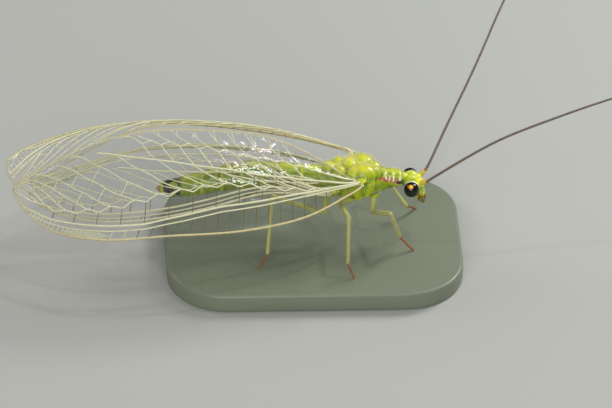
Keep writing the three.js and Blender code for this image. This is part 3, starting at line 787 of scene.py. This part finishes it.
leg = {
    # radii at the start, in the middle and at the end
    "coxa": (0.16, 0.1325, 0.105), "femur": (0.08, 0.105, 0.085), "tibia": (0.075, 0.066, 0.072),
    "footJoint": (0.045, 0.045, 0.045), "footJoints": 5, "overlap": 0.05,
    # a limb's rounded end: how far in, as a share of the cap, and how thick
    "cap": [(0, 0.45), (0.35, 0.85), (1, 1)],
    # a claw: how far ahead of the toe, to the side and down, and its radius
    "claw": [(0, 0, 0, 0.02), (0.08, 0.05, 0, 0.018), (0.12, 0.09, 0.03, 0.004)],
    # hip, bend, knee, ankle and toe
    "front_right": [(0.9, -0.4, 1.9), (0.84, -0.62, 1.22), (1.46, -2.2, 2.26), (1.92, -1.3, 0.5),
                    (2.49, -1.2, -0.255)],
    "front_left": [(0.9, 0.4, 1.9), (0.86, 0.62, 1.22), (0.97, 2.0, 1.97), (2.37, 1.1, 0.33),
                   (2.78, 1.72, -0.255)],
    "mid_right": [(-0.08, -0.46, 1.8), (-0.5, -0.82, 1.8), (-0.28, -2.85, 2.54), (-0.27, -2.95, 0.4),
                  (-0.02, -3.1, -0.255)],
    "mid_left": [(-0.08, 0.46, 1.8), (-0.14, 0.72, 1.2), (-0.2, 2.5, 1.72), (-0.2, 3.25, 0.3),
                 (0.02, 3.7, -0.255)],
    "hind_right": [(-1.0, -0.42, 1.98), (-1.12, -0.66, 1.26), (-3.3, -1.75, 2.9), (-3.48, -2.2, 0.4),
                   (-3.78, -2.3, -0.255)],
    "hind_left": [(-1.0, 0.42, 1.98), (-1.12, 0.66, 1.26), (-3.2, 1.5, 1.95), (-3.75, 2.3, 0.4),
                  (-4.1, 2.66, -0.255)],
}


def limbRoute(start, end, radii, past=0.0):
    # Stations of a tube with rounded ends, which runs a share of its length past them
    first, middle, last = radii
    cap = min(0.5, first / (end - start).length) * 0.8
    shares = [cap * inward - past for inward, thick in leg["cap"]]
    around = [first * thick for inward, thick in leg["cap"]]
    shares += [0.5] + [1 - share for share in shares[::-1]]
    around += [middle] + [last * thick for inward, thick in leg["cap"][::-1]]
    fine, stations = np.linspace(0, 1, 25), np.linspace(0, 1, 7)
    places = [start.lerp(end, share) for share in np.interp(fine, stations, shares)]
    return places, np.interp(fine, stations, around), 0


def makeLegs():
    for name in sides:
        for pair in ("front", "mid", "hind"):
            hip, bend, knee, ankle, toe = (Vector(place) for place in leg[f"{pair}_{name}"])
            routes = [
                limbRoute(hip, bend, leg["coxa"]),
                limbRoute(bend, knee, leg["femur"], 0.02),
                limbRoute(knee, ankle, leg["tibia"], 0.02),
            ]
            nodes = [f"leg_{pair}_{name}_femur", f"leg_{pair}_{name}_tibia"]
            finishPiece(f"leg_{pair}_{name}", tubes(routes, [limbFinish], 4), nodes)
            joints, claws = [], []
            for k in range(leg["footJoints"]):
                spots = (share / leg["footJoints"] for share in (k, k + 1 + leg["overlap"]))
                joints.append(limbRoute(*(ankle.lerp(toe, spot) for spot in spots), leg["footJoint"]))
            ahead = (toe - ankle).normalized()
            across = ahead.cross(Vector((0, 0, 1))).normalized()
            for way in (-1, 1):
                places = [toe + ahead * out + across * way * aside - Vector((0, 0, down))
                          for out, aside, down, radius in leg["claw"]]
                claws.append((places, [radius for out, aside, down, radius in leg["claw"]], 0))
            mesh = tubes(joints + claws, [footFinish], 3)
            finishPiece(f"foot_{pair}_{name}", mesh, [f"leg_{pair}_{name}_tarsus"])
            limbRoutes[f"leg_{pair}_{name}"] = routes
            limbRoutes[f"foot_{pair}_{name}"] = joints


makeLegs()
print("legs made")


# Wings: margins as in the solids, lifted to where the film lies

wing = {
    "foreRoot": {
        "front": [(0.5, 1.14, 2.92), (-0.2, 1.62, 2.8)],
        "rear": [(-0.2, 1.06, 3.24), (-1.4, 0.62, 3.9), (-3.2, 0.28, 4.68), (-5.2, 0.2, 5.02)],
    },
    "fore_right": {
        "front": [(-2, 2.78, 2.56), (-4.5, 3.72, 2.6), (-7.5, 4.14, 2.69), (-10.2, 4.0, 2.45),
                  (-12.2, 3.15, 2.35), (-13.2, 2.2, 2.6), (-13.62, 1.5, 2.95)],
        "rear": [(-8.4, 0.2, 5.06), (-10.6, 0.46, 4.6), (-12.2, 0.8, 3.92), (-13.1, 1.0, 3.42),
                 (-13.62, 1.18, 3.14)],
    },
    "fore_left": {
        "front": [(-2, 2.78, 2.58), (-4.5, 3.72, 2.46), (-7.5, 4.14, 2.48), (-10.2, 3.85, 2.54),
                  (-12.2, 2.7, 2.72), (-13.3, 1.76, 2.84), (-13.86, 1.05, 2.88)],
        "rear": [(-8.4, 0.2, 4.98), (-10.6, 0.25, 3.86), (-12.2, 0.25, 2.8), (-13.1, 0.26, 2.36),
                 (-13.58, 0.35, 2.15)],
    },
    "hindRoot": {
        "front": [(-0.72, 1.1, 2.4), (-2, 1.28, 2.64), (-3.6, 1.5, 2.84), (-6.05, 2.2, 2.62)],
        "rear": [(-1.2, 1.0, 2.6), (-2.2, 0.9, 3.04), (-3.6, 0.46, 3.68), (-5.2, 0.3, 3.95)],
    },
    "hind_right": {
        "front": [(-8.5, 2.6, 2.4), (-10.4, 2.36, 2.2), (-11.8, 1.8, 2.15), (-12.6, 1.34, 2.32),
                  (-12.96, 1.02, 2.5)],
        "rear": [(-8.4, 0.3, 3.9), (-10.4, 0.42, 3.5), (-11.8, 0.58, 3.04), (-12.6, 0.68, 2.78),
                 (-12.96, 0.8, 2.64)],
    },
    "hind_left": {
        "front": [(-8.5, 2.6, 2.2), (-10.4, 2.3, 1.9), (-11.8, 1.7, 1.82), (-12.5, 1.24, 1.86),
                  (-12.86, 0.96, 1.9)],
        "rear": [(-8.4, 0.3, 3.82), (-10.4, 0.36, 2.98), (-11.8, 0.44, 2.12), (-12.5, 0.54, 1.92),
                 (-12.86, 0.68, 1.9)],
    },
    "camber": 0.045, "sag": 0.06, "tipBulge": 0.11, "filmThickness": 0.012, "filmCells": (150, 44),
    # where the front and rear veins enter the body
    "foreHinge": [(0.38, 0.84, 2.94), (0.02, 0.8, 2.99)],
    "hindHinge": [(-0.66, 0.76, 2.56), (-0.94, 0.7, 2.6)],
    # main lines of the veins from root to tip, as places along the wing and across it from the front margin
    "foreLines": {
        "subcosta": [(0, 0.24), (0.11, 0.26), (0.19, 0.255), (0.3, 0.215), (0.41, 0.19), (0.51, 0.125),
                     (0.61, 0.078), (0.74, 0.082), (0.84, 0.085), (0.9, 0.07), (0.94, 0.0)],
        "radius": [(0, 0.3), (0.11, 0.3), (0.19, 0.295), (0.3, 0.255), (0.41, 0.23), (0.51, 0.165),
                   (0.61, 0.115), (0.74, 0.125), (0.83, 0.135), (0.92, 0.13), (0.985, 0.0)],
        "sector": [(0.11, 0.31), (0.19, 0.35), (0.28, 0.38), (0.35, 0.43), (0.42, 0.43), (0.49, 0.39),
                   (0.56, 0.355), (0.63, 0.315), (0.71, 0.275), (0.83, 0.25), (0.9, 0.3), (0.95, 0.31),
                   (1, 0.32)],
        "media": [(0.02, 0.36), (0.1, 0.45), (0.2, 0.49), (0.3, 0.52), (0.38, 0.58), (0.47, 0.62),
                  (0.53, 0.66), (0.59, 0.7), (0.66, 0.77), (0.74, 0.88)],
        "cubitus": [(0, 0.55), (0.1, 0.64), (0.2, 0.69), (0.28, 0.715), (0.33, 0.73), (0.4, 0.785),
                    (0.48, 0.83), (0.55, 0.86), (0.61, 0.89), (0.67, 1.0)],
    },
    # on the left forewing the radius and the sector run further from the front margin near the tip
    "leftEnds": {
        "radius": [(0.83, 0.14), (0.88, 0.185), (0.94, 0.3), (0.97, 0.44), (1, 0.58)],
        "sector": [(0.83, 0.25), (0.88, 0.29), (0.94, 0.42), (0.97, 0.58), (1, 0.74)],
    },
    "hindLines": {
        "subcosta": [(0, 0.14), (0.2, 0.1), (0.5, 0.06), (0.8, 0.06), (0.92, 0.0)],
        "radius": [(0, 0.26), (0.2, 0.19), (0.5, 0.12), (0.8, 0.12), (0.92, 0.12), (0.98, 0.0)],
        "sector": [(0.1, 0.24), (0.2, 0.34), (0.35, 0.38), (0.5, 0.36), (0.65, 0.31), (0.83, 0.27),
                   (0.93, 0.34), (1, 0.5)],
        "media": [(0, 0.4), (0.1, 0.5), (0.3, 0.58), (0.45, 0.64), (0.6, 0.74), (0.7, 0.88)],
        "cubitus": [(0, 0.6), (0.1, 0.7), (0.3, 0.8), (0.45, 0.86), (0.58, 1.0)],
    },
    # loops near the root, between the media and the sector
    "foreLoops": [[(0.13, 0.462), (0.16, 0.52), (0.2, 0.535), (0.235, 0.502)],
                  [(0.13, 0.43), (0.2, 0.44), (0.3, 0.47), (0.38, 0.53), (0.44, 0.6)]],
    "hindLoops": [],
    # sizes in millimetres: a wing's rough length and width, the step along a vein and the veins' radii
    "span": (14, 3.5), "veinStep": 0.12,
    "radii": {"costa": 0.048, "subcosta": 0.035, "radius": 0.046, "sector": 0.031, "media": 0.042,
              "cubitus": 0.03, "branch": 0.022, "cross": 0.015, "edge": 0.028},
    # the zigzag of the sector and of the cubitus: how far each corner lies off and how often one comes
    "sectorZigzag": {"depth": 0.024, "pitch": 0.031, "to": 0.9},
    "cubitusZigzag": {"depth": 0.0216, "pitch": 0.026, "from": 0.17},
    # branches: their reach along the wing, and the place up to which they end on the media
    "branch": {"reach": 0.25, "intoMediaTo": 0.55, "wave": 0.006, "forkAt": 24},
    "tipFan": (0.885, 0.91, 0.935, 0.96),
    "crossVeins": {("sector", "media", -0.008): (0.14, 0.2, 0.26, 0.32, 0.38),
                   ("media", "cubitus", 0.01): (0.06, 0.12)},
    "linkRows": (9, 18),
    "ladder": {"from": 0.05, "to": 0.985, "step": 0.034, "tipStep": 0.0125, "tipFrom": 0.74, "darkTo": 0.66,
               "subcostaTo": 0.84},
    "stigma": {"from": 0.7, "to": 0.83, "cells": (30, 5), "thickness": 0.03},
    "bristles": {"pitch": 0.13, "length": 0.13, "lean": 0.9, "thickness": 0.012, "fringePitch": 0.055,
                 "fringeLength": 0.14, "foreSeed": 40, "hindSeed": 50},
    # the front margin, the rear margin and the tip: length, place across, and the step inward
    "fringe": [(14.5, 0, (0.002, 0.03)), (14.5, 1, (0.002, -0.03)), (1.4, None, (-0.015, 0))],
}


def lineAt(line, u):
    at, across = zip(*line)
    return np.interp(u, at, across)


def makeSurface(outline, root, lines, side):
    # The wing's surface by u along it and v across it, sunk between its veins and arched as a whole
    front, rear = (smoothTrack(toSide(root[edge] + outline[edge], side)) for edge in ("front", "rear"))
    ridges = [lines[name] for name in ("radius", "sector", "media", "cubitus")]

    def surface(u, v):
        u, v = np.broadcast_arrays(np.asarray(u, float), np.asarray(v, float))
        start, end = alongTrack(front, u), alongTrack(rear, u)
        chord = np.linalg.norm(end - start, axis=-1)
        place = start + (end - start) * v[..., None]
        marks = [np.zeros(u.shape)] + [lineAt(line, u) for line in ridges] + [np.ones(u.shape)]
        fall = np.zeros(u.shape)
        for low, high in zip(marks, marks[1:]):
            share = np.clip((v - low) / np.maximum(high - low, 0.01), 0, 1)
            fall = np.maximum(fall, np.sin(math.pi * share) * (high - low))
        arch = np.sin(math.pi * v)
        place[..., 2] += wing["camber"] * chord * arch - wing["sag"] * fall * chord
        place[..., 0] -= wing["tipBulge"] * chord ** 2 * arch * ramp(u, 0.93, 1) ** 2
        return place

    return surface


def veinRoutes(surface, lines, loops, hinges):
    # Every vein of a wing as tube routes. Materials: 0 main vein, 1 margin, 2 dark cross vein
    size = wing["radii"]
    routes = []

    def on(name, u, off=0.0):
        return u, lineAt(lines[name], u) + off

    def add(line, radius, number=0, tip=0.7, hinge=None):
        line = np.array(line, float)
        travelled = travelTo(line * wing["span"])
        count = max(3, int(travelled[-1] / wing["veinStep"]))
        place = surface(*placesAt(np.linspace(0, travelled[-1], count), travelled, line).T)
        radii = np.linspace(radius, radius * tip, count)
        if hinge is not None:
            way = [hinges[hinge] + (place[0] - hinges[hinge]) * share for share in (0, 0.35, 0.7)]
            place = np.vstack([way, place])
            radii = np.r_[radius * 1.5, radius * 1.35, radius * 1.15, radii]
            for turn in range(6):
                place[1:8] = (place[:7] + place[2:9]) / 2
        routes.append((place, radii, number))

    along = np.linspace(0, 1, 60)
    add([(u, 0) for u in along], size["costa"], 1, hinge=0)
    add([(u, 1) for u in along] + [(1, 0)], size["edge"], 1, 0.9, hinge=1)
    for name, hinge in (("subcosta", 0), ("radius", 0), ("media", 1)):
        add([on(name, u) for u in np.linspace(0, lines[name][-1][0], 70)], size[name], hinge=hinge)

    # The sector zigzags: a branch leaves each rearward corner, and a cross vein joins each forward one
    zigzag = wing["sectorZigzag"]
    first, last = lines["sector"][0][0], lines["sector"][-1][0]
    corners = [on("sector", first)]
    branchStarts = []
    for step, u in enumerate(np.arange(first + zigzag["pitch"], zigzag["to"], zigzag["pitch"])):
        corners.append(on("sector", u, zigzag["depth"] * (-1) ** step))
        if step % 2 == 0:
            branchStarts.append(corners[-1])
        else:
            add([on("radius", u + 0.006), corners[-1]], size["cross"], 2, 1)
    corners += [on("sector", u) for u in np.linspace(zigzag["to"], last, 8)]
    add(corners, size["sector"])

    # Branches: the inner ones bend into the media, the outer ones run out to the margin and fork there
    branch = wing["branch"]
    free = []
    for startU, startV in branchStarts:
        span = min(branch["reach"], (1 - startU) * 0.95)
        route = []
        for t in np.linspace(0, 1, 30):
            u, v = startU + span * t, startV + (1 - startV) * t ** 1.15
            v += branch["wave"] * math.sin(t * 19 + startU * 40)
            if startU < branch["intoMediaTo"] and v >= lineAt(lines["media"], u):
                route.append(on("media", u))
                break
            route.append((u, min(1, v)))
        else:
            free.append(route)
            u, v = route[branch["forkAt"]]
            add([(u, v), (min(1, u + 0.05 * (1.02 - u) / 0.2), 1)], size["branch"] * 0.8)
        add(route, size["branch"], 0, 0.8)
    # The last branches fan out over the tip
    for u in wing["tipFan"]:
        start = lineAt(lines["sector"], u)
        rise = (1 - start) * (0.975 - u) / 0.1
        add([(u, start), ((u + 1) / 2, start + rise * 0.42), (1, start + rise)], size["branch"] * 0.8)

    # The cubitus zigzags too: veins from the media meet it, and others leave it for the rear margin
    zigzag = wing["cubitusZigzag"]
    first, last = lines["cubitus"][0][0], lines["cubitus"][-1][0]
    corners = [on("cubitus", u) for u in np.linspace(first, 0.14, 6)]
    for step, u in enumerate(np.arange(zigzag["from"], last - 0.03, zigzag["pitch"])):
        corners.append(on("cubitus", u, zigzag["depth"] * (-1) ** step))
        if step % 2:
            add([on("media", max(0.05, u - 0.035)), corners[-1]], size["branch"], 0, 0.9)
        else:
            fork = (u + 0.028, (corners[-1][1] + 1) / 2)
            add([corners[-1], fork, (u + 0.034, 1)], size["branch"] * 0.9)
            add([fork, (u + 0.05, 1)], size["branch"] * 0.8)
    add(corners + [(last, 1)], size["cubitus"], hinge=1)

    # Cross veins near the root, and two rows of steps that link the outer branches
    for (one, two, shift), spots in wing["crossVeins"].items():
        for u in spots:
            add([on(one, u), on(two, u + shift)], size["cross"], 2, 1)
    for reach in wing["linkRows"]:
        for one, two in zip(free, free[1:]):
            add([one[reach], two[max(0, reach - 5)]], size["cross"] * 1.1, 0, 1)
    for loop in loops:
        add(loop, size["branch"])

    # Ladder of the front margin, dark near the root and closer near the tip
    ladder = wing["ladder"]
    u = ladder["from"]
    while u < ladder["to"]:
        top = lineAt(lines["subcosta" if u < ladder["subcostaTo"] else "radius"], u)
        if top > 0.02:
            number = 2 if u < ladder["darkTo"] else 0
            add([(u - 0.004, top), (min(1, u + 0.006), 0)], size["cross"], number, 1)
        u += ladder["step"] if u < ladder["tipFrom"] else ladder["tipStep"]
    return routes


def fringeHairs(surface, seed):
    # Fine hairs that stand out round the whole margin and lean toward the tip
    dice = np.random.default_rng(seed)
    look = wing["bristles"]
    hairs = []
    for length, across, inward in wing["fringe"]:
        at = np.linspace(0, 1, int(length / look["fringePitch"]))
        at = np.clip(at + dice.uniform(-0.4, 0.4, len(at)) / len(at), 0, 1)
        u, v = (np.ones(len(at)), at) if across is None else (at, np.full(len(at), across))
        edge = surface(u, v)
        way = unit(edge - surface(u + inward[0], v + inward[1]))
        way[:, 0] -= 0.7
        way += dice.uniform(-0.2, 0.2, way.shape)
        reach = look["fringeLength"] * dice.uniform(0.7, 1.2, len(at))
        hairs.append((edge, edge + unit(way) * reach[:, None], np.c_[u, v] * 0.99))
    return [np.concatenate(part) for part in zip(*hairs)]


def layFilm(surface, cells, thickness, shape=lambda u, v: (u, v)):
    # A thin sheet on a wing's surface
    bm = bmesh.new()
    bmesh.ops.create_grid(bm, x_segments=cells[0], y_segments=cells[1], size=0.5)
    u, v = np.array([corner.co.xy for corner in bm.verts]).T + 0.5
    for corner, place in zip(bm.verts, surface(*shape(u, v))):
        corner.co = place
    return settle(toMesh(bm, "film"), [("SOLIDIFY", {"thickness": thickness, "offset": 0.0})])


def makeStigma(name, surface, lines):
    # The thick pale patch near the tip, between the margin and the subcosta
    span = wing["stigma"]

    def taper(u, v):
        narrow = np.clip(np.minimum(u, 1 - u) / 0.3, 0.08, 1)
        u = span["from"] + u * (span["to"] - span["from"])
        return u, (0.5 + (v - 0.5) * narrow) * 0.96 * lineAt(lines["subcosta"], u)

    mesh = layFilm(surface, span["cells"], span["thickness"], taper)
    finishPiece(f"forewing_{name}_stigma", mesh, materials=[stigmaFinish])


def makeWing(kind, name, side):
    look = wing["bristles"]
    lines = dict(wing[f"{kind}Lines"])
    if (kind, name) == ("fore", "left"):
        for line, end in wing["leftEnds"].items():
            lines[line] = [corner for corner in lines[line] if corner[0] < 0.8] + end
    surface = makeSurface(wing[f"{kind}_{name}"], wing[f"{kind}Root"], lines, side)
    mesh = layFilm(surface, wing["filmCells"], wing["filmThickness"])
    finishPiece(f"{kind}wing_{name}_film", mesh, [f"{kind}wing_{name}"], [membraneFinish])
    routes = veinRoutes(surface, lines, wing[f"{kind}Loops"], toSide(wing[f"{kind}Hinge"], side))
    finishes = [veinFinish, marginFinish if kind == "fore" else veinFinish, crossFinish]
    finishPiece(f"{kind}wing_{name}_veins", tubes(routes, finishes))
    if kind == "fore":
        makeStigma(name, surface, lines)
    seed = look[f"{kind}Seed"] + side
    onVeins = tubeHairs(routes, look, seed)
    hairs = [np.concatenate(pair) for pair in zip(onVeins, fringeHairs(surface, seed + 4))]
    mesh = hairMesh(hairs, look["thickness"])
    finishPiece(f"{kind}wing_{name}_bristles", mesh, materials=[bristleFinish])


for kind in ("fore", "hind"):
    for name, side in sides.items():
        makeWing(kind, name, side)
print("wings made")


# Hairs of the body, legs and antennae

coat = {
    "body": {"count": 3600, "length": (0.07, 0.18), "thickness": 0.012, "lean": (-0.7, 0, 0.1), "seed": 7,
             "clearOfEye": 0.37, "headFrom": 2.2},
    "leg": {"pitch": 0.035, "length": 0.1, "lean": 0.8, "thickness": 0.012, "slot": "cuticle_pale",
            "finish": hairFinish},
    "foot": {"pitch": 0.03, "length": 0.06, "lean": 0.8, "thickness": 0.01, "slot": "tarsus",
             "finish": darkHairFinish},
    "antenna": {"pitch": 0.022, "length": 0.055, "lean": 0.8, "thickness": 0.009, "slot": "antenna",
                "finish": darkHairFinish},
}


def coatBody():
    # More hairs on the thorax than on the head and the abdomen, more above than below, and none on the eyes
    look = coat["body"]
    dice = np.random.default_rng(look["seed"])
    x, away, z = skinPlaces[:, 0], np.abs(skinPlaces[:, 1]), skinPlaces[:, 2]
    weight = np.where(x > 1.2, 0.9, 1.6) * np.where(x < -1.4, 0.5, 1)
    weight *= np.clip(0.35 + skinNormals[:, 2], 0.12, 1.2)
    fromEye = np.linalg.norm(np.stack([x, away, z], -1) - np.array(eye["middle"]), axis=1)
    weight[fromEye < look["clearOfEye"]] = 0
    chosen = dice.choice(len(x), look["count"], replace=False, p=weight / weight.sum())
    places, normals = skinPlaces[chosen], skinNormals[chosen]
    onHead = places[:, 0] > look["headFrom"]
    roots = places - normals * 0.01
    way = normals + np.array(look["lean"]) * np.where(onHead, 0.2, 1)[:, None]
    way += dice.uniform(-0.25, 0.25, way.shape)
    length = dice.uniform(*look["length"], len(chosen)) * np.where(onHead, 0.5, 1)
    turn = np.arctan2(places[:, 1], places[:, 2] - 2.45) / math.tau + 0.5
    hairs = roots, roots + unit(way) * length[:, None], np.c_[(places[:, 0] + 8) / 11.2, turn * 0.99]
    finishPiece("body_hairs", hairMesh(hairs, look["thickness"]), materials=[hairFinish])


def coatLimbs():
    for seed, (name, routes) in enumerate(limbRoutes.items(), 100):
        look = coat[name.split("_")[0]]
        mesh = hairMesh(tubeHairs(routes, look, seed), look["thickness"])
        finishPiece(f"{name}_hairs", mesh, materials=[look["finish"]])


coatBody()
coatLimbs()
print("hairs made")


# Display plate

plate = {"cornerRadius": 2.4, "cornerSegments": 16, "bevel": 0.12, "bevelSegments": 4}


def makePlate():
    low, high = (toRow.inverted() @ corner for corner in (plateLow, plateHigh))
    bm = bmesh.new()
    matrix = Matrix.Translation((low + high) / 2) @ Matrix.Diagonal((*(high - low), 1))
    bmesh.ops.create_cube(bm, size=1, matrix=matrix)
    # The upright edges first, then the rims of the rounded plate
    for upright, size in ((True, "cornerRadius"), (False, "bevel")):
        edges = [e for e in bm.edges if (abs((e.verts[0].co - e.verts[1].co).z) > 0.1) == upright]
        segments = plate["cornerSegments" if upright else "bevelSegments"]
        bmesh.ops.bevel(bm, geom=edges, offset=plate[size], segments=segments, profile=0.5, affect="EDGES",
                        material=-1)
    finishPiece("stand_plate", toMesh(bm, "plate"), ["stand_base"], [plateFinish])


makePlate()
print("plate made")
